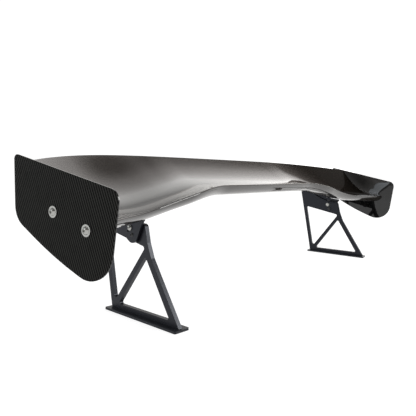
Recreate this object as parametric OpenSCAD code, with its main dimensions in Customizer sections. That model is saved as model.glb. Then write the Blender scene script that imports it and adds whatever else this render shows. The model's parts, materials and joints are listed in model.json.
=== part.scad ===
// Racing rear wing on two machined uprights.
// Units are mm. +Z is up, the leading edge faces -Y, and X runs along the span.
// The origin is on the floor, in the middle of the wing's length and width.

/* [Wing] */
// Half the length of the carbon wing, out to the tip rib
half_span = 759.5; // [750:0.5:760]
// Depth of the camber, as a share of the chord
camber_share = 0.14; // [0.12:0.01:0.15]
// Height of the round nose, square to the chord
nose_height = 23.5; // [23:0.5:25]
// Thickness of the trailing edge
trailing_thickness = 2.2; // [2:0.1:2.6]
// Wall of each carbon shell
skin = 2; // [1.8:0.1:2.2]

/* [Endplates] */
// Thickness of the carbon endplates
endplate_thickness = 3.5; // [3:0.5:4]

/* [Uprights] */
// Distance from the middle of the wing to the middle of each foot
upright_x = 539.2; // [530:1:548]
// Thickness of the upright plates
plate_thickness = 10; // [8:1:10]
// Width of the feet
foot_width = 40; // [34:2:48]
// Thickness of the feet
foot_thickness = 5; // [4:1:6]

/* [Tilt] */
// Angle the wing is set to. The nodes are exported at 0
tilt = 0; // [-5:1:8]

/* [Hidden] */
// The uprights are toed: their front ends stand further apart than their rear ends
toe = 5.8;
// The model is laid out from the middle of the feet, then moved so its box is centred on the origin
centre_y = -30;

// Gaps between touching pieces
touch = 0.05;
bond_gap = 0.9;
thread_gap = 0.05;

// Shell sampling
span_steps = 48;
chord_steps = 14;
nose_steps = 8;

// Pivot and adjusting bolts, in the upright's own frame
pivot_y = 43;
pivot_z = 185;
pivot_r = 3;
pivot_hole_r = 3.6;
pivot_washer_r = 6.2;
adjust_reach = 16;
adjust_angle = 245;
adjust_r = 2.5;
slot_r = 3.2;
slot_from = adjust_angle - 7;
slot_to = adjust_angle + 10;

// An empty hole beside the bolts, for a locating pin
pin_reach = 9.6;
pin_angle = 307;
pin_r = 2.4;

// Bracket, in the upright's own frame
face_x = plate_thickness / 2;
bracket_gap = 0.9;
web = 5.7;
web_in = face_x + bracket_gap;
web_out = web_in + web;
flange_in = -21;
flange_thickness = 6;
flange_drop = 1.3;
bracket_screw_x = -13;
bracket_screw_y = [38, 95];
bracket_screw_r = 3;
bracket_hole_r = 3.3;
boss_r = 6.5;
boss_drop = 3;

// Vertical drills for the bracket screws, from below the flange to above the wing
drill_from = 190;
drill_height = 80;

// Tip rib and endplate screws
rib_thickness = 14;
tip_screws = [[12.8, 232.8], [-68.9, 211.2]];
tip_screw_r = 4;
washer_thickness = 1.6;
plate_in = half_span + 0.1;
plate_out = plate_in + endplate_thickness;

// Foot
foot_length = 212;
foot_screw_y = 35;
mount_hole_y = 88;
hole_top = 13.5;
mount_hole_top = 18;
foot_bolt_r = 3;
mount_tap_r = 2.5;
mount_clear_r = 4.5;

carbon = [0.05, 0.05, 0.055];
anodised = [0.1, 0.1, 0.11];
steel = [0.75, 0.75, 0.77];
metal = [0.6, 0.6, 0.62];
black = [0.04, 0.04, 0.04];

// ---- Wing section ----

// 0 below `from`, 1 above `to`, smooth between
function ramp(from, to, a) =
    let (t = min(1, max(0, (a - from) / (to - from))))
    t * t * (3 - 2 * t);

// The seam along the leading edge. The middle of the wing is raised and set back
function seam_y(a) = 3.5 - 20 * ramp(240, 420, a) - 7.65e-4 * pow(max(0, a - 450), 2);
function seam_z(a) = 271.5 - 47.5 * ramp(260, 635, a) - 3.4 * ramp(635, 760, a);

// The trailing edge sweeps forward and droops towards the tips
function tail_y(a) = 195 - 7.14e-4 * pow(max(0, a - 350), 2);
function tail_z(a) = 334 - 18 * pow(a / 760, 4);

function chord(a) = norm([tail_y(a) - seam_y(a), tail_z(a) - seam_z(a)]);
function incidence(a) = atan2(tail_z(a) - seam_z(a), tail_y(a) - seam_y(a));

// Height of the upper surface over the chord line, at the share u of the chord
function upper(a, u) = -camber_share * chord(a) * 4 * u * (1 - u) * (1.3 - 0.6 * u);

// Thickness square to the chord. The tips stay thick for longer, to hold the endplate screws
function thickness(a, u) =
    trailing_thickness
    + (nose_height - trailing_thickness) * (1 - pow(u, 1.8 + 1.2 * ramp(600, 760, a)));
function wall(a, u) = min(skin, thickness(a, u) / 2 - touch);

// From distance along the chord and height over it to Y and Z
function place(a, s, n) =
    [seam_y(a) + s * cos(incidence(a)) - n * sin(incidence(a)),
     seam_z(a) + s * sin(incidence(a)) + n * cos(incidence(a))];

// Lower surface starts this far along the chord, where the nose ends
nose_end = 9;
function lower_share(a, i) = let (f = nose_end / chord(a)) f + (1 - f) * i / chord_steps;

function bezier(p, t) =
    pow(1 - t, 3) * p[0] + 3 * t * pow(1 - t, 2) * p[1] + 3 * t * t * (1 - t) * p[2] + pow(t, 3) * p[3];

// Control points of the nose, from the seam round to the lower surface, moved in by `depth`
function nose_curve(a, depth) =
    let (f = nose_end / chord(a),
         down = upper(a, f) - thickness(a, f),
         slope_u = upper(a, 0.02) / (0.02 * chord(a)),
         slope_l = (upper(a, f + 0.02) - thickness(a, f + 0.02) - down) / (0.02 * chord(a)),
         lead = 9 - depth,
         trail = 16 - depth)
    [[-0.15, -depth],
     [-0.15 - lead, -depth - lead * slope_u],
     [nose_end - trail, down + depth - trail * slope_l],
     [nose_end, down + depth]];

// The two shells' sections, each as an outer line and an inner line
function upper_line(a, inner) =
    [for (i = [0 : chord_steps])
        let (u = pow(i / chord_steps, 1.2))
        place(a, u * chord(a), upper(a, u) - inner * wall(a, u))];

function lower_line(a, inner) =
    concat(
        [for (i = [0 : nose_steps - 1])
            let (q = bezier(nose_curve(a, inner * skin), i / nose_steps))
            place(a, q[0], q[1])],
        [for (i = [0 : chord_steps])
            let (u = lower_share(a, i))
            place(a, u * chord(a), upper(a, u) - thickness(a, u) + inner * wall(a, u))]);

// A solid through rings of points, one ring for each station along the span.
// Each ring is two lines of `count` points, one above the other
module loft(stations, count) {
    rings = len(stations);
    ring = 2 * count;
    pts = [for (s = stations) for (i = [0 : ring - 1])
        [s[0], s[1][i][0], s[1][i][1]]];
    walls = [for (k = [0 : rings - 2]) for (i = [0 : ring - 1])
        let (j = (i + 1) % ring, a = k * ring, b = a + ring)
        each [[a + i, b + j, b + i], [a + i, a + j, b + j]]];
    last = (rings - 1) * ring;
    ends = [for (i = [0 : count - 2])
        let (j = ring - 1 - i)
        each [[i, j, i + 1], [i + 1, j, j - 1],
              [last + i, last + i + 1, last + j], [last + i + 1, last + j - 1, last + j]]];
    polyhedron(pts, concat(walls, ends), 4);
}

function reversed(list) = [for (i = [len(list) - 1 : -1 : 0]) list[i]];

function span_stations() = [for (k = [0 : span_steps]) half_span * (2 * k / span_steps - 1)];

// What fills the inside between two shares of the chord, clear of the shells by `gap`
function core_ring(x, from, to, steps, gap) =
    let (a = abs(x))
    concat(
        [for (i = [0 : steps])
            let (u = from + (to - from) * i / steps)
            place(a, u * chord(a), upper(a, u) - skin - gap)],
        [for (i = [steps : -1 : 0])
            let (u = from + (to - from) * i / steps)
            place(a, u * chord(a), upper(a, u) - thickness(a, u) + skin + gap)]);

module core(x_from, x_to, x_steps, from, to, steps, gap) {
    loft([for (k = [0 : x_steps])
        let (x = x_from + (x_to - x_from) * k / x_steps)
        [x, core_ring(x, from, to, steps, gap)]], steps + 1);
}

// ---- Placing ----

// From foot-centred coordinates to the part's frame
module in_frame() {
    translate([0, centre_y, 0]) children();
}

// Tilts the wing's assembly about the pivot line
module on_wing() {
    in_frame()
    translate([0, pivot_y * cos(toe), pivot_z])
    rotate([tilt, 0, 0])
    translate([0, -pivot_y * cos(toe), -pivot_z])
    children();
}

// The upright's own frame: X outboard, Y to the rear
module at_upright() {
    translate([upright_x, 0, 0])
    rotate([0, 0, toe])
    children();
}

module both_sides() {
    children();
    mirror([1, 0, 0]) children();
}

// Lays a cylinder along X
module along_x(x) {
    translate([x, 0, 0]) rotate([0, 90, 0]) children();
}

// ---- Outlines ----

function unit(v) = v / norm(v);

// Points of the arc of radius r that rounds off the corner q between p and s
function corner(p, q, s, r) =
    let (a = unit(p - q),
         b = unit(s - q),
         half = acos(a * b) / 2,
         reach = r / tan(half),
         c = q + unit(a + b) * r / sin(half),
         from = atan2(q[1] + a[1] * reach - c[1], q[0] + a[0] * reach - c[0]),
         to = atan2(q[1] + b[1] * reach - c[1], q[0] + b[0] * reach - c[0]),
         turn = (to - from + 540) % 360 - 180,
         steps = max(4, ceil(abs(turn) / 8)))
    [for (i = [0 : steps]) c + r * [cos(from + turn * i / steps), sin(from + turn * i / steps)]];

// A closed outline from a list of [y, z, corner radius]
module outline(list) {
    n = len(list);
    xy = [for (p = list) [p[0], p[1]]];
    polygon([for (i = [0 : n - 1])
        each (list[i][2] > 0
            ? corner(xy[(i + n - 1) % n], xy[i], xy[(i + 1) % n], list[i][2])
            : [xy[i]])]);
}

// A plate drawn in Y and Z, standing from x by the given thickness
module plate_yz(x, thick) {
    translate([x, 0, 0])
    rotate([90, 0, 90])
    linear_extrude(thick)
    children();
}

// ---- Fasteners, each along +X with its seat at x = 0 ----

module hex_recess(across, depth) {
    along_x(-depth) cylinder(h = depth + 1, r = across / sqrt(3), $fn = 6);
}

// Dome-head screw: the head is on +X, the shank on -X
module dome_screw(r, length, head_r, head_h, hex) {
    along_x(-length) cylinder(h = length + 0.5, r = r, $fn = 48);
    difference() {
        along_x(0)
        rotate_extrude($fn = 64)
        intersection() {
            translate([0, head_h - (head_h * head_h + head_r * head_r) / (2 * head_h)])
            circle(r = (head_h * head_h + head_r * head_r) / (2 * head_h), $fn = 96);
            square([head_r, head_h]);
        }
        translate([head_h, 0, 0]) hex_recess(hex, head_h * 0.6);
    }
}

module washer(inner_r, outer_r, thick) {
    along_x(0)
    difference() {
        cylinder(h = thick, r = outer_r, $fn = 64);
        translate([0, 0, -1]) cylinder(h = thick + 2, r = inner_r, $fn = 48);
    }
}

module nut(inner_r, across, thick) {
    along_x(0)
    difference() {
        cylinder(h = thick, r = across / sqrt(3), $fn = 6);
        translate([0, 0, -1]) cylinder(h = thick + 2, r = inner_r, $fn = 48);
    }
}

// ---- The wing ----

module wing_upper_skin() {
    color(carbon)
    on_wing()
    loft([for (x = span_stations())
        [x, concat(upper_line(abs(x), 0), reversed(upper_line(abs(x), 1)))]], chord_steps + 1);
}

module wing_lower_skin() {
    color(carbon)
    on_wing()
    difference() {
        loft([for (x = span_stations())
            [x, concat(lower_line(abs(x), 1), reversed(lower_line(abs(x), 0)))]],
            nose_steps + chord_steps + 1);
        both_sides() at_upright() bracket_screw_places()
            drill(bracket_hole_r);
    }
}

spar_end = half_span - rib_thickness - 0.5;
module wing_front_spar() {
    color(carbon) on_wing() core(-spar_end, spar_end, span_steps, 0.085, 0.1, 1, bond_gap);
}

module wing_rear_spar() {
    color(carbon) on_wing() core(-spar_end, spar_end, span_steps, 0.69, 0.705, 1, bond_gap);
}

module tip_rib() {
    difference() {
        core(half_span - rib_thickness, half_span, 3, 0.06, 0.8, 10, bond_gap / 2);
        for (p = tip_screws)
            translate([0, p[0], p[1]])
            along_x(half_span - rib_thickness - 1)
            cylinder(h = rib_thickness + 2, r = tip_screw_r + thread_gap, $fn = 48);
    }
}

module tip_rib_left() {
    color(metal) on_wing() mirror([1, 0, 0]) tip_rib();
}

module tip_rib_right() {
    color(metal) on_wing() tip_rib();
}

// Both of a bracket's screw places, in the upright's frame
module bracket_screw_places() {
    for (y = bracket_screw_y)
        translate([bracket_screw_x, y, 0])
        children();
}

module drill(r) {
    translate([0, 0, drill_from]) cylinder(h = drill_height, r = r, $fn = 48);
}

module mount_block() {
    difference() {
        core(500, 552, 4, 0.12, 0.58, 8, bond_gap);
        at_upright() bracket_screw_places()
            drill(bracket_screw_r + thread_gap);
    }
}

module mount_block_left() {
    color(metal) on_wing() mirror([1, 0, 0]) mount_block();
}

module mount_block_right() {
    color(metal) on_wing() mount_block();
}

// ---- Endplates ----

// Top rear, top front, round lower front, the gently bowed lower edge, and the lower rear
endplate_outline = [
    [123.2, 326.3, 8],
    [-137.4, 277.9, 20],
    [-120.8, 112.7, 54],
    [9.8, 155.8, 800],
    [116.9, 211.5, 40]];

module endplate() {
    difference() {
        plate_yz(plate_in, endplate_thickness) outline(endplate_outline);
        for (p = tip_screws)
            translate([0, p[0], p[1]])
            along_x(plate_in - 1)
            cylinder(h = endplate_thickness + 2, r = tip_screw_r + 0.2, $fn = 48);
    }
}

module endplate_left() {
    color(carbon) on_wing() mirror([1, 0, 0]) endplate();
}

module endplate_right() {
    color(carbon) on_wing() endplate();
}

module endplate_screws() {
    color(steel)
    on_wing() both_sides()
    for (p = tip_screws)
        translate([plate_out + washer_thickness + 2 * touch, p[0], p[1]])
        dome_screw(tip_screw_r, 16, 7, 4.4, 5);
}

module endplate_washers() {
    color(steel)
    on_wing() both_sides()
    for (p = tip_screws)
        translate([plate_out + touch, p[0], p[1]])
        washer(tip_screw_r + 0.3, 10, washer_thickness);
}

// ---- Brackets ----

// Height over the chord line of the lower surface at the distance along it that lands s0 behind the seam
function under_n(a, s0, n, turns) =
    turns == 0 ? n
    : let (u = (s0 + n * tan(incidence(a))) / chord(a))
      under_n(a, s0, upper(a, u) - thickness(a, u), turns - 1);

// Underside of the wing, less `drop`, over a point in the upright's frame
function under_z(x, y, drop) =
    let (a = upright_x + x * cos(toe) - y * sin(toe),
         s0 = (x * sin(toe) + y * cos(toe) - seam_y(a)) / cos(incidence(a)),
         n = under_n(a, s0, -nose_height, 9))
    place(a, s0 + n * tan(incidence(a)), n)[1] - drop;

bracket_front = 4.5;
bracket_rear = 120;
bracket_steps = 14;
function bracket_top(x, front, drop) =
    [for (i = [0 : bracket_steps])
        let (y = front + (bracket_rear - front) * i / bracket_steps)
        [y, under_z(x, y, drop)]];

// The lobe is round about the adjusting bolt
lobe_r = 16.6;

module bracket_web() {
    plate_yz(web_in, web)
    polygon(concat(
        bracket_top(web_in + web / 2, bracket_front, flange_drop + 1),
        [[112, 180], [90, 172]],
        corner([90, 172], [55, 163], [28, 145.6], 30),
        corner([55, 163], [28, 145.6], [bracket_front, 204], lobe_r)));
}

// The flange's top follows the underside, which twists under the bracket.
// Its front edge runs back at 45 degrees from the web
module bracket_flange() {
    loft([for (i = [0 : 3])
        let (x = flange_in + (web_out - 0.5 - flange_in) * i / 3,
             front = bracket_front + max(0, web_in - x))
        [x, concat(
            bracket_top(x, front, flange_drop),
            reversed(bracket_top(x, front, flange_drop + flange_thickness)))]],
        bracket_steps + 1);
}

module bracket() {
    difference() {
        union() {
            bracket_web();
            bracket_flange();
            for (y = bracket_screw_y)
                translate([bracket_screw_x, y, screw_seat(y)])
                cylinder(h = boss_drop + 2, r = boss_r, $fn = 64);
        }
        translate([0, pivot_y, pivot_z])
            along_x(web_in - 1) cylinder(h = web + 2, r = pivot_hole_r, $fn = 48);
        about_pivot(adjust_reach, adjust_angle)
            along_x(web_in - 1) cylinder(h = web + 2, r = adjust_r + 0.2, $fn = 48);
        about_pivot(pin_reach, pin_angle)
            along_x(web_in - 1) cylinder(h = web + 2, r = pin_r, $fn = 48);
        bracket_screw_places()
            drill(bracket_hole_r);
    }
}

// Flat seats for the screw heads stand down from the sloping flange
function screw_seat(y) =
    under_z(bracket_screw_x, y, flange_drop + flange_thickness + boss_drop);

module about_pivot(reach, angle) {
    translate([0, pivot_y + reach * cos(angle), pivot_z + reach * sin(angle)]) children();
}

module wing_bracket_left() {
    color(anodised) on_wing() mirror([1, 0, 0]) at_upright() bracket();
}

module wing_bracket_right() {
    color(anodised) on_wing() at_upright() bracket();
}

module bracket_screws() {
    color(black)
    on_wing() both_sides() at_upright()
    for (y = bracket_screw_y)
        translate([bracket_screw_x, y, screw_seat(y) - touch])
        rotate([0, 90, 0])
        dome_screw(bracket_screw_r, 20, 5.2, 3.3, 4);
}

module adjusting_bolts() {
    color(black)
    on_wing() both_sides() at_upright() about_pivot(adjust_reach, adjust_angle)
    translate([web_out + touch, 0, 0])
    dome_screw(adjust_r, web_out + face_x + 7.5, 4.8, 2.8, 4);
}

module adjusting_washers() {
    color(black)
    on_wing() both_sides() at_upright() about_pivot(adjust_reach, adjust_angle)
    translate([-face_x - 0.45 - washer_thickness, 0, 0])
    washer(adjust_r + 0.2, 5, washer_thickness);
}

module adjusting_nuts() {
    color(black)
    on_wing() both_sides() at_upright() about_pivot(adjust_reach, adjust_angle)
    translate([-face_x - 0.5 - washer_thickness - 4, 0, 0])
    nut(adjust_r + thread_gap, 8, 4);
}

// ---- Pivots ----

module at_pivots() {
    in_frame() both_sides() at_upright() translate([0, pivot_y, pivot_z]) children();
}

module pivot_bolts() {
    color(steel)
    at_pivots()
    translate([web_out + 0.25 + washer_thickness, 0, 0])
    dome_screw(pivot_r, web_out + face_x + 2 * washer_thickness + 7, 5.9, 3.4, 4);
}

// A thin one between upright and bracket, one under the head, one under the nut
module pivot_washers() {
    color(steel)
    at_pivots() {
        translate([face_x + touch, 0, 0]) washer(pivot_r + 0.2, pivot_washer_r, 0.65);
        translate([web_out + 0.2, 0, 0]) washer(pivot_r + 0.2, pivot_washer_r, washer_thickness);
        translate([-face_x - touch - washer_thickness, 0, 0]) washer(pivot_r + 0.2, pivot_washer_r, washer_thickness);
    }
}

module pivot_nuts() {
    color(steel)
    at_pivots()
    translate([-face_x - 2 * touch - washer_thickness - 5, 0, 0])
    nut(pivot_r + thread_gap, 10, 5);
}

// ---- Uprights and feet ----

upright_outline = [
    [100.1, foot_thickness + touch, 0],
    [157.5, 262, 2],
    [106.4, 226.7, 0],
    [85, 213.6, 0],
    [65, 204.5, 0],
    [47, 198, 0],
    [5.4, 195.5, 9],
    [-4, 159, 0],
    [-17, 129, 0],
    [-101.5, foot_thickness + touch, 0]];

upper_window = [[125.6, 172.7, 5], [1.9, 149.3, 5], [91.4, 19.2, 6]];
lower_window = [[0.8, 130.6, 4], [-75.4, 16.3, 4], [78.8, 15.4, 4]];

module upright() {
    difference() {
        plate_yz(-plate_thickness / 2, plate_thickness) outline(upright_outline);
        plate_yz(-plate_thickness, 2 * plate_thickness) outline(upper_window);
        plate_yz(-plate_thickness, 2 * plate_thickness) outline(lower_window);
        translate([0, pivot_y, pivot_z])
            along_x(-plate_thickness) cylinder(h = 2 * plate_thickness, r = pivot_r + 0.05, $fn = 48);
        adjust_slot();
        for (y = [-foot_screw_y, foot_screw_y])
            translate([0, y, 0]) cylinder(h = hole_top, r = foot_bolt_r + thread_gap, $fn = 48);
        for (y = [-mount_hole_y, mount_hole_y])
            translate([0, y, 0]) cylinder(h = mount_hole_top, r = mount_tap_r, $fn = 48);
    }
}

// Points of an arc about the pivot
function arc(r, from, to, steps) =
    [for (i = [0 : steps])
        let (a = from + (to - from) * i / steps)
        r * [cos(a), sin(a)]];

// The slot the adjusting bolt moves in, an arc about the pivot with round ends
module adjust_slot() {
    first = adjust_reach * [cos(slot_from), sin(slot_from)];
    last = adjust_reach * [cos(slot_to), sin(slot_to)];
    translate([0, pivot_y, pivot_z])
    plate_yz(-plate_thickness, 2 * plate_thickness)
    polygon(concat(
        arc(adjust_reach + slot_r, slot_from, slot_to, 6),
        [for (p = arc(slot_r, slot_to + 15, slot_to + 165, 10)) last + p],
        arc(adjust_reach - slot_r, slot_to, slot_from, 4),
        [for (p = arc(slot_r, slot_from + 195, slot_from + 345, 10)) first + p]));
}

module upright_left() {
    color(anodised) in_frame() mirror([1, 0, 0]) at_upright() upright();
}

module upright_right() {
    color(anodised) in_frame() at_upright() upright();
}

module foot() {
    w = foot_width / 2;
    l = foot_length / 2;
    difference() {
        linear_extrude(foot_thickness)
            outline([[-w, -l, 3], [w, -l, 3], [w, l, 3], [-w, l, 3]]);
        for (y = [-mount_hole_y, mount_hole_y])
            translate([0, y, -1]) cylinder(h = foot_thickness + 2, r = mount_clear_r, $fn = 48);
        for (y = [-foot_screw_y, foot_screw_y])
            translate([0, y, 0]) {
                translate([0, 0, -1]) cylinder(h = foot_thickness + 2, r = foot_bolt_r + 0.2, $fn = 48);
                translate([0, 0, -0.01]) cylinder(h = 3.6, r1 = 6.6, r2 = foot_bolt_r, $fn = 64);
            }
    }
}

module foot_left() {
    color(anodised) in_frame() mirror([1, 0, 0]) at_upright() foot();
}

module foot_right() {
    color(anodised) in_frame() at_upright() foot();
}

module foot_screws() {
    color(steel)
    in_frame() both_sides() at_upright()
    for (y = [-foot_screw_y, foot_screw_y])
        translate([0, y, 0])
        difference() {
            union() {
                translate([0, 0, 1]) cylinder(h = 11.5, r = foot_bolt_r, $fn = 48);
                translate([0, 0, 0.3]) cylinder(h = 3, r1 = 6, r2 = foot_bolt_r, $fn = 64);
            }
            translate([0, 0, -0.5]) cylinder(h = 3, r = 4 / sqrt(3), $fn = 6);
        }
}

wing_upper_skin();
wing_lower_skin();
wing_front_spar();
wing_rear_spar();
tip_rib_left();
tip_rib_right();
mount_block_left();
mount_block_right();
endplate_left();
endplate_right();
endplate_screws();
endplate_washers();
wing_bracket_left();
wing_bracket_right();
bracket_screws();
adjusting_bolts();
adjusting_washers();
adjusting_nuts();
pivot_bolts();
pivot_washers();
pivot_nuts();
upright_left();
upright_right();
foot_left();
foot_right();
foot_screws();
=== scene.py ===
# The looks of the racing rear wing: carbon shells, anodised uprights, a pale studio.
import json
import math

import bmesh
import bpy
from mathutils import Matrix, Vector


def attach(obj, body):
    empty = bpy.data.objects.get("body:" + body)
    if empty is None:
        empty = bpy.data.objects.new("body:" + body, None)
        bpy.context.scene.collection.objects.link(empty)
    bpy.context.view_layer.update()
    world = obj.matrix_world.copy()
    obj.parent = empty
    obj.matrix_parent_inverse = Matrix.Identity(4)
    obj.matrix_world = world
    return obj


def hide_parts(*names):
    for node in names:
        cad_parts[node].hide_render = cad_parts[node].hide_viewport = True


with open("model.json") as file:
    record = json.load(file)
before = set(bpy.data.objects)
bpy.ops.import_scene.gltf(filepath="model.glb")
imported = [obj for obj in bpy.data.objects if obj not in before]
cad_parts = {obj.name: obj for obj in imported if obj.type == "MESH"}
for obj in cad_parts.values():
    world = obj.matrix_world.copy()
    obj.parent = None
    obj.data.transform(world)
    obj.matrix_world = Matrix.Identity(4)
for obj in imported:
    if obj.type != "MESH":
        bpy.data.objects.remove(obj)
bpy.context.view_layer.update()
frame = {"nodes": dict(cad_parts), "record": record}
NODES = frame["nodes"]

# ---- The wing's shape, by the same formulas as part.scad, in mm ----

HALF_SPAN = 759.5  # to the endplates' inner faces
CAMBER = 0.14  # of the chord
NOSE_HEIGHT = 23.5
TRAILING = 2.2  # thickness at the trailing edge
SKIN = 2.0
NOSE_END = 9.0  # where the nose's curve meets the underside
NOSE_LEAD = 9.0  # the nose curve's handle at the seam
NOSE_TRAIL = 16.0  # and its handle at the underside
SLOPE_STEP = 0.02  # of the chord, for a surface's slope
SEAM_GAP = 0.15
GROOVE = 1.3  # the seam's depth and half width
TOUCH = 0.05
CENTRE_Y = -30.0  # from the formulas' origin to the frame's
PLATE_MIDDLE = (HALF_SPAN + 1.9) / 1000  # inside the endplates' 3.5 mm


def ramp(lo, hi, a):
    t = min(1.0, max(0.0, (a - lo) / (hi - lo)))
    return t * t * (3 - 2 * t)


class Section:
    """The wing's cross-section at the distance a from the middle."""

    def __init__(self, x):
        a = abs(x)
        self.seam = (
            3.5 - 20 * ramp(240, 420, a) - 7.65e-4 * max(0.0, a - 450) ** 2,
            271.5 - 47.5 * ramp(260, 635, a) - 3.4 * ramp(635, 760, a),
        )
        tail = (
            195 - 7.14e-4 * max(0.0, a - 350) ** 2,
            334 - 18 * (a / 760) ** 4,
        )
        dy, dz = tail[0] - self.seam[0], tail[1] - self.seam[1]
        self.chord = math.hypot(dy, dz)
        self.cos, self.sin = dy / self.chord, dz / self.chord
        self.tip = ramp(600, 760, a)

    def upper(self, u):
        return -CAMBER * self.chord * 4 * u * (1 - u) * (1.3 - 0.6 * u)

    def thickness(self, u):
        return TRAILING + (NOSE_HEIGHT - TRAILING) * (1 - u ** (1.8 + 1.2 * self.tip))

    def wall(self, u):
        return min(SKIN, self.thickness(u) / 2 - TOUCH)

    def place(self, s, n):
        return (
            self.seam[0] + s * self.cos - n * self.sin,
            self.seam[1] + s * self.sin + n * self.cos,
        )

    def upper_line(self, inner, steps):
        groove = GROOVE / self.chord
        shares = [g / self.chord for g in groove_steps()]
        shares += [groove + (1 - groove) * (i / steps) ** 1.2 for i in range(steps + 1)]
        line = []
        for u in shares:
            dip = 0 if inner else groove_depth(u * self.chord)
            line.append(self.place(u * self.chord, self.upper(u) - inner * self.wall(u) - dip))
        return line

    def nose_line(self, inner, steps):
        depth = inner * SKIN
        f = NOSE_END / self.chord
        down = self.upper(f) - self.thickness(f)
        run = SLOPE_STEP * self.chord
        slope_u = self.upper(SLOPE_STEP) / run
        next_down = self.upper(f + SLOPE_STEP) - self.thickness(f + SLOPE_STEP)
        slope_l = (next_down - down) / run
        lead, trail = NOSE_LEAD - depth, NOSE_TRAIL - depth
        p = [
            Vector((-SEAM_GAP, -depth)),
            Vector((-SEAM_GAP - lead, -depth - lead * slope_u)),
            Vector((NOSE_END - trail, down + depth - trail * slope_l)),
            Vector((NOSE_END, down + depth)),
        ]
        length = 3 * (p[1] - p[0]).length
        shares = [g / length for g in groove_steps()]
        shares += [(GROOVE + (length - GROOVE) * i / steps) / length for i in range(steps)]
        line = []
        for t in shares:
            dip = 0 if inner else groove_depth(t * length)
            q = (
                (1 - t) ** 3 * p[0]
                + 3 * t * (1 - t) ** 2 * p[1]
                + 3 * t * t * (1 - t) * p[2]
                + t**3 * p[3]
            )
            line.append(self.place(q[0], q[1] - dip))
        return line

    def lower_line(self, inner, nose_steps, steps):
        f = NOSE_END / self.chord
        line = self.nose_line(inner, nose_steps)
        for i in range(steps + 1):
            u = f + (1 - f) * i / steps
            n = self.upper(u) - self.thickness(u) + inner * self.wall(u)
            line.append(self.place(u * self.chord, n))
        return line


def groove_steps():
    """Distances from the seam, where both shells' edges are rounded."""
    return [GROOVE * share for share in (0.0, 0.08, 0.25, 0.5, 0.75)]


def groove_depth(s):
    if s >= GROOVE:
        return 0.0
    return GROOVE * (1 - math.sqrt(1 - (1 - s / GROOVE) ** 2))


def in_metres(x, yz):
    return (x / 1000, (yz[0] + CENTRE_Y) / 1000, yz[1] / 1000)


SPAN_STEPS = 320
SEAM_FACES = len(groove_steps())
CREASE = math.radians(35)


def shell(name, line, node, material):
    """A smooth shell from two lines per station, the outer one first."""
    points, count = [], 0
    for k in range(SPAN_STEPS + 1):
        x = HALF_SPAN * (2 * k / SPAN_STEPS - 1)
        section = Section(x)
        ring = line(section, 0) + line(section, 1)[::-1]
        count = len(ring)
        points += [in_metres(x, p) for p in ring]
    faces = []
    for k in range(SPAN_STEPS):
        for i in range(count):
            j = (i + 1) % count
            a, b = k * count, (k + 1) * count
            faces.append((a + i, a + j, b + j, b + i))
    last = SPAN_STEPS * count
    half = count // 2
    for i in range(half - 1):
        j = count - 1 - i
        faces.append((i, j, j - 1, i + 1))
        faces.append((last + i, last + i + 1, last + j - 1, last + j))
    mesh = bpy.data.meshes.new(name)
    mesh.from_pydata(points, [], faces)
    mesh.validate()
    mesh.shade_smooth()
    mesh.set_sharp_from_angle(angle=CREASE)
    piece = bpy.data.objects.new(name, mesh)
    bpy.context.scene.collection.objects.link(piece)
    fix_normals(piece)
    piece.data.materials.append(material)
    piece.data.materials.append(MATERIALS["seam"])
    # The seam's groove faces take the painted seam shade, a near-black matte line along the joint.
    for k in range(SPAN_STEPS):
        for i in range(SEAM_FACES):
            mesh.polygons[k * count + i].material_index = 1
    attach(piece, "wing")
    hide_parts(node)
    return piece


def fix_normals(piece):
    bm = bmesh.new()
    bm.from_mesh(piece.data)
    bmesh.ops.recalc_face_normals(bm, faces=bm.faces)
    bm.to_mesh(piece.data)
    bm.free()


# ---- Materials ----


def new_material(name):
    material = bpy.data.materials.new(name)
    material.use_nodes = True
    tree = material.node_tree
    shader = next(n for n in tree.nodes if n.type == "BSDF_PRINCIPLED")
    return material, tree, shader


def math_node(tree, operation, a, b=None, c=None):
    """A math node's output, where each of a, b and c is a number or another node's output."""
    node = tree.nodes.new("ShaderNodeMath")
    node.operation = operation
    for i, value in enumerate((a, b, c)):
        if value is None:
            continue
        if isinstance(value, (int, float)):
            node.inputs[i].default_value = value
        else:
            tree.links.new(value, node.inputs[i])
    return node.outputs[0]


def coordinates(tree):
    node = tree.nodes.new("ShaderNodeTexCoord")
    parts = tree.nodes.new("ShaderNodeSeparateXYZ")
    tree.links.new(node.outputs["Object"], parts.inputs[0])
    return node.outputs["Object"], parts.outputs


def twill(tree, across, along, tow, turn):
    """The 2x2 twill's over-and-under pattern, 1 where the lengthwise tow is on top."""
    c, s = math.cos(math.radians(turn)) / tow, math.sin(math.radians(turn)) / tow

    def times(value, factor):
        return math_node(tree, "MULTIPLY", value, factor)

    p = math_node(tree, "ADD", times(across, c), times(along, s))
    q = math_node(tree, "SUBTRACT", times(along, c), times(across, s))
    cell = math_node(tree, "ADD", math_node(tree, "FLOOR", p), math_node(tree, "FLOOR", q))
    phase = math_node(tree, "FRACT", math_node(tree, "MULTIPLY", cell, 0.25))
    return math_node(tree, "LESS_THAN", phase, 0.5)


def colour_ramp(tree, value, stops):
    """The colour at a value, between stops of (value, colour)."""
    node = tree.nodes.new("ShaderNodeValToRGB")
    elements = node.color_ramp.elements
    while len(elements) < len(stops):
        elements.new(0.5)
    for element, (position, colour) in zip(elements, stops):
        element.position = position
        element.color = (*colour, 1)
    tree.links.new(value, node.inputs[0])
    return node.outputs[0]


def noise(tree, vector, scale):
    node = tree.nodes.new("ShaderNodeTexNoise")
    node.inputs["Scale"].default_value = scale
    node.inputs["Detail"].default_value = 2.0
    tree.links.new(vector, node.inputs["Vector"])
    return node.outputs[0]


GLOSS_TOW = 0.0019
PLATE_TOW = 0.00173
PLATE_TURN = 110.5  # degrees from the plate's depth to its lengthwise tows


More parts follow.
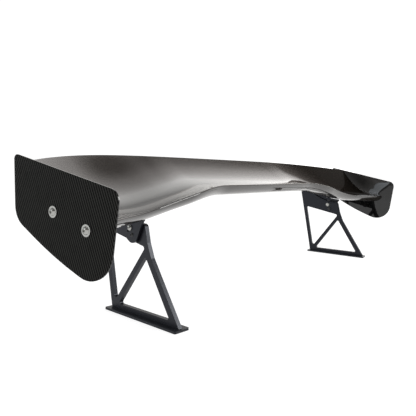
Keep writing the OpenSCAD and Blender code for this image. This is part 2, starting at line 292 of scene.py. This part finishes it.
def gloss_carbon():
    """Clear-coated carbon, nearly black with a brown cast."""
    material, tree, shader = new_material("carbon_gloss")
    _, (x, y, _) = coordinates(tree)
    over = twill(tree, x, y, GLOSS_TOW, 45)
    tone = math_node(tree, "MULTIPLY_ADD", over, 0.5, 0.25)
    tree.links.new(
        colour_ramp(tree, tone, [(0.0, (0.003, 0.0025, 0.002)), (1.0, (0.010, 0.0085, 0.007))]),
        shader.inputs["Base Color"],
    )
    shader.inputs["Roughness"].default_value = 0.35
    shader.inputs["Specular IOR Level"].default_value = 0.05
    shader.inputs["Coat Weight"].default_value = 1.0
    shader.inputs["Coat Roughness"].default_value = 0.03
    shader.inputs["Coat IOR"].default_value = 1.6
    shader.inputs["Coat Tint"].default_value = (1.0, 0.95, 0.9, 1)
    return material


def painted_seam_shade():
    """Painted shade along the leading edge's joint: near-black matte faces in the seam's groove
    stand in for the shade there.
    """
    material, tree, shader = new_material("seam")
    vector, _ = coordinates(tree)
    grain = noise(tree, vector, 300.0)
    tree.links.new(
        colour_ramp(tree, grain, [(0.3, (0.002, 0.002, 0.002)), (0.7, (0.006, 0.006, 0.006))]),
        shader.inputs["Base Color"],
    )
    shader.inputs["Roughness"].default_value = 0.6
    shader.inputs["Specular IOR Level"].default_value = 0.1
    return material


def plate_carbon():
    """The endplates' twill: polished on the inner faces, with a satin coat on the outer ones."""
    material, tree, shader = new_material("carbon_twill")
    vector, (x, y, z) = coordinates(tree)
    over = twill(tree, y, z, PLATE_TOW, PLATE_TURN)
    inner = math_node(tree, "LESS_THAN", math_node(tree, "ABSOLUTE", x), PLATE_MIDDLE)
    mottle = noise(tree, vector, 60.0)
    depth = math_node(tree, "MULTIPLY_ADD", inner, -0.75, 1.0)
    tone = math_node(tree, "MULTIPLY", over, math_node(tree, "MULTIPLY_ADD", mottle, 0.6, 0.7))
    tone = math_node(tree, "MULTIPLY", tone, depth)
    tree.links.new(
        colour_ramp(tree, tone, [(0.0, (0.0, 0.0, 0.0)), (1.0, (0.026, 0.026, 0.024))]),
        shader.inputs["Base Color"],
    )
    tree.links.new(
        math_node(tree, "MULTIPLY_ADD", inner, -0.3, 0.45), shader.inputs["Roughness"]
    )
    tree.links.new(
        math_node(tree, "MULTIPLY_ADD", inner, 0.97, 0.03), shader.inputs["Coat Weight"]
    )
    shader.inputs["Specular IOR Level"].default_value = 0.012
    shader.inputs["Coat Roughness"].default_value = 0.03
    return material


def anodised():
    material, tree, shader = new_material("black_anodised")
    vector, _ = coordinates(tree)
    grain = noise(tree, vector, 900.0)
    tree.links.new(
        colour_ramp(tree, grain, [(0.3, (0.004, 0.004, 0.006)), (0.7, (0.008, 0.008, 0.011))]),
        shader.inputs["Base Color"],
    )
    shader.inputs["Roughness"].default_value = 0.34
    shader.inputs["Specular IOR Level"].default_value = 0.28
    shader.inputs["Specular Tint"].default_value = (0.85, 0.9, 1.0, 1)
    return material


def bare_metal(name, colour, roughness):
    material, tree, shader = new_material(name)
    vector, _ = coordinates(tree)
    grain = noise(tree, vector, 1500.0)
    dark = tuple(c * 0.88 for c in colour)
    tree.links.new(
        colour_ramp(tree, grain, [(0.3, dark), (0.7, colour)]), shader.inputs["Base Color"]
    )
    shader.inputs["Metallic"].default_value = 1.0
    shader.inputs["Roughness"].default_value = roughness
    return material


def black_steel():
    material, tree, shader = new_material("black_steel")
    vector, _ = coordinates(tree)
    grain = noise(tree, vector, 1200.0)
    tree.links.new(
        colour_ramp(tree, grain, [(0.3, (0.010, 0.010, 0.010)), (0.7, (0.018, 0.018, 0.018))]),
        shader.inputs["Base Color"],
    )
    shader.inputs["Roughness"].default_value = 0.4
    return material


MATERIALS = {
    "carbon_gloss": gloss_carbon(),
    # seam: painted shade on the seam's groove faces
    "seam": painted_seam_shade(),
    "carbon_twill": plate_carbon(),
    "black_anodised": anodised(),
    "aluminium": bare_metal("aluminium", (0.62, 0.63, 0.65), 0.3),
    "stainless": bare_metal("stainless", (0.40, 0.40, 0.38), 0.25),
    "black_steel": black_steel(),
}

SLOTS = {p["node"]: p["material_slot"] for p in frame["record"]["subparts"]}

# ---- The CAD nodes' finish ----

EDGES = {  # bevel widths in metres, by the start of the node's name
    "upright": 0.0007,
    "foot": 0.0006,
    "wing_bracket": 0.0005,
    "endplate_left": 0.0006,
    "endplate_right": 0.0006,
}
WELD_DISTANCE = 0.00001
BEVEL_ANGLE = math.radians(38)


def soften_edges(piece, width):
    weld = piece.modifiers.new("weld", "WELD")
    weld.merge_threshold = WELD_DISTANCE
    bevel = piece.modifiers.new("bevel", "BEVEL")
    bevel.width = width
    bevel.segments = 3
    bevel.limit_method = "ANGLE"
    bevel.angle_limit = BEVEL_ANGLE
    bevel.harden_normals = True


for name, piece in NODES.items():
    piece.data.materials.clear()
    piece.data.materials.append(MATERIALS[SLOTS[name]])
    for start, width in EDGES.items():
        if name.startswith(start):
            soften_edges(piece, width)

shell(
    "upper_shell",
    lambda s, inner: s.upper_line(inner, 72),
    "wing_upper_skin",
    MATERIALS["carbon_gloss"],
)
shell(
    "lower_shell",
    lambda s, inner: s.lower_line(inner, 24, 60),
    "wing_lower_skin",
    MATERIALS["carbon_gloss"],
)

# ---- Studio ----

WORLD_STRENGTH = 2.2
FLOOR_Z = -0.0005
FLOOR_GLOW = 0.84


def studio_floor():
    bpy.ops.mesh.primitive_plane_add(size=60, location=(0, 0, FLOOR_Z))
    floor = bpy.context.object
    floor.name = "floor"
    material, tree, shader = new_material("floor_white")
    shader.inputs["Base Color"].default_value = (0.3, 0.3, 0.3, 1)
    shader.inputs["Roughness"].default_value = 0.9
    shader.inputs["Emission Color"].default_value = (1, 1, 1, 1)
    shader.inputs["Emission Strength"].default_value = FLOOR_GLOW
    floor.data.materials.append(material)


def mixed(tree, blend, a, b):
    """Two colours, blended in full."""
    node = tree.nodes.new("ShaderNodeMix")
    node.data_type = "RGBA"
    node.blend_type = blend
    node.inputs[0].default_value = 1.0
    tree.links.new(a, node.inputs[6])
    tree.links.new(b, node.inputs[7])
    return node.outputs[2]


def studio_world():
    """White near the horizon, dim overhead, with a bright wall behind the wing's trailing edge."""
    world = bpy.data.worlds.new("studio")
    bpy.context.scene.world = world
    world.use_nodes = True
    tree = world.node_tree
    background = next(n for n in tree.nodes if n.type == "BACKGROUND")
    coords = tree.nodes.new("ShaderNodeTexCoord")
    parts = tree.nodes.new("ShaderNodeSeparateXYZ")
    tree.links.new(coords.outputs["Generated"], parts.inputs[0])
    _, y, z = parts.outputs
    horizon = colour_ramp(
        tree,
        z,
        [
            (0.0, (0.50, 0.50, 0.50)),
            (0.30, (0.50, 0.49, 0.48)),
            (0.42, (0.10, 0.09, 0.085)),
            (0.60, (0.03, 0.027, 0.025)),
            (1.0, (0.15, 0.15, 0.15)),
        ],
    )
    wall = colour_ramp(
        tree,
        y,
        [
            (0.02, (0.0, 0.0, 0.0)),
            (0.10, (0.09, 0.083, 0.08)),
            (0.16, (0.44, 0.42, 0.41)),
            (0.24, (0.66, 0.64, 0.63)),
            (0.35, (0.95, 0.94, 0.93)),
            (0.42, (0.72, 0.72, 0.71)),
            (0.56, (0.22, 0.22, 0.22)),
        ],
    )
    below = colour_ramp(tree, z, [(0.55, (1.0, 1.0, 1.0)), (0.85, (0.2, 0.2, 0.2))])
    both = mixed(tree, "LIGHTEN", horizon, mixed(tree, "MULTIPLY", wall, below))
    tree.links.new(both, background.inputs[0])
    background.inputs[1].default_value = WORLD_STRENGTH


def softbox(name, location, target, size, power, colour=(1.0, 1.0, 1.0)):
    """A rectangular lamp of a size in metres and a power in watts, aimed at the target."""
    data = bpy.data.lights.new(name, "AREA")
    data.shape = "RECTANGLE"
    data.size, data.size_y = size
    data.energy = power
    data.color = colour
    lamp = bpy.data.objects.new(name, data)
    lamp.location = location
    aim = Vector(target) - Vector(location)
    lamp.rotation_mode = "QUATERNION"
    lamp.rotation_quaternion = aim.to_track_quat("-Z", "Y")
    bpy.context.scene.collection.objects.link(lamp)


studio_floor()
studio_world()
softbox("front", (2.0, -2.6, 1.6), (0, 0, 0.15), (2.4, 1.2), 96)
softbox("left", (-2.4, 1.7, 1.0), (0.7, 0, 0.2), (1.8, 0.8), 15, (0.80, 0.90, 1.0))
softbox("top", (0.3, 0.2, 3.2), (0, 0, 0.2), (3.0, 1.6), 30)

# ---- Camera, at the photograph's angle ----

AZIMUTH, ELEVATION, ROLL = map(math.radians, (-55.33, 5.45, 2.84))
CAMERA_PLACE = (-1.2969, -0.6978, 0.3308)
LENS = 43.38
forward = Vector(
    (
        -math.sin(AZIMUTH) * math.cos(ELEVATION),
        math.cos(AZIMUTH) * math.cos(ELEVATION),
        -math.sin(ELEVATION),
    )
)
level = forward.cross(Vector((0, 0, 1))).normalized()
upward = level.cross(forward)
right = level * math.cos(ROLL) + upward * math.sin(ROLL)
up = upward * math.cos(ROLL) - level * math.sin(ROLL)
camera_data = bpy.data.cameras.new("camera")
camera_data.sensor_width = 36
camera_data.lens = LENS
camera_data.clip_start = 0.05
camera = bpy.data.objects.new("camera", camera_data)
bpy.context.scene.collection.objects.link(camera)
turned = Matrix((right, up, -forward)).transposed().to_4x4()
camera.matrix_world = Matrix.Translation(CAMERA_PLACE) @ turned
bpy.context.scene.camera = camera
bpy.context.scene.view_settings.view_transform = "Standard"
